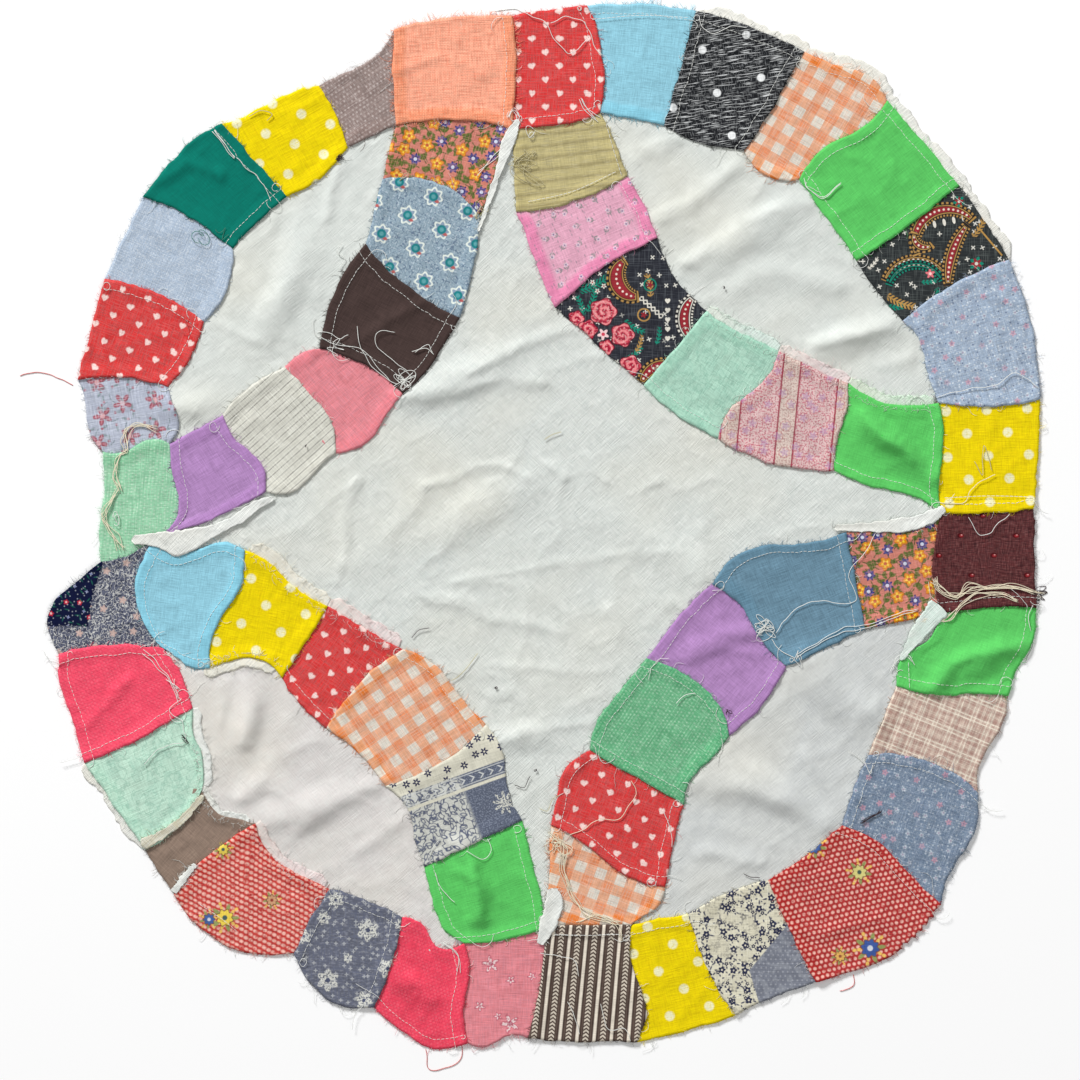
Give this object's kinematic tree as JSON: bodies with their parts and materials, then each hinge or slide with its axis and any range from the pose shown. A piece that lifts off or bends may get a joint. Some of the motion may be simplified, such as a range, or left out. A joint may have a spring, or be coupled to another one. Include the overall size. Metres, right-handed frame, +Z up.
{
  "type": "quilt top",
  "caption": "Flat ring section of a pieced double wedding ring quilt top, lying wrong side up with raw edges.",
  "frame": {"origin": "middle of the ring's box, on the surface that it lies on", "axes": "+Z up from the surface to the wrong side, +Y to the red heart square, +X to the yellow dotted square"},
  "size_m": [0.4946, 0.5242, 0.0037],
  "materials": {
    "muslin": "matt cotton",
    "arc_patchwork": "matt cotton",
    "red_cotton": "matt cotton",
    "yellow_cotton": "matt cotton",
    "maroon_cotton": "matt cotton",
    "brown_cotton": "matt cotton",
    "rose_cotton": "matt cotton",
    "navy_cotton": "matt cotton",
    "green_cotton": "matt cotton",
    "peach_linen": "matt cotton"
  },
  "bodies": {
    "root": {"centre": "muslin", "melon_ne": "muslin", "melon_se": "muslin", "melon_sw": "muslin", "melon_nw": "muslin", "remnant_ne": "muslin", "remnant_sw": "muslin", "inner_arc_ne": "arc_patchwork", "outer_arc_ne": "arc_patchwork", "inner_arc_se": "arc_patchwork", "outer_arc_se": "arc_patchwork", "inner_arc_sw": "arc_patchwork", "outer_arc_sw": "arc_patchwork", "inner_arc_nw": "arc_patchwork", "outer_arc_nw": "arc_patchwork", "square_north_east": "red_cotton", "square_east_north": "yellow_cotton", "square_east_south": "maroon_cotton", "square_south_east": "brown_cotton", "square_south_west": "rose_cotton", "square_west_south": "navy_cotton", "square_west_north": "green_cotton", "square_north_west": "peach_linen"}
  },
  "joints": []
}
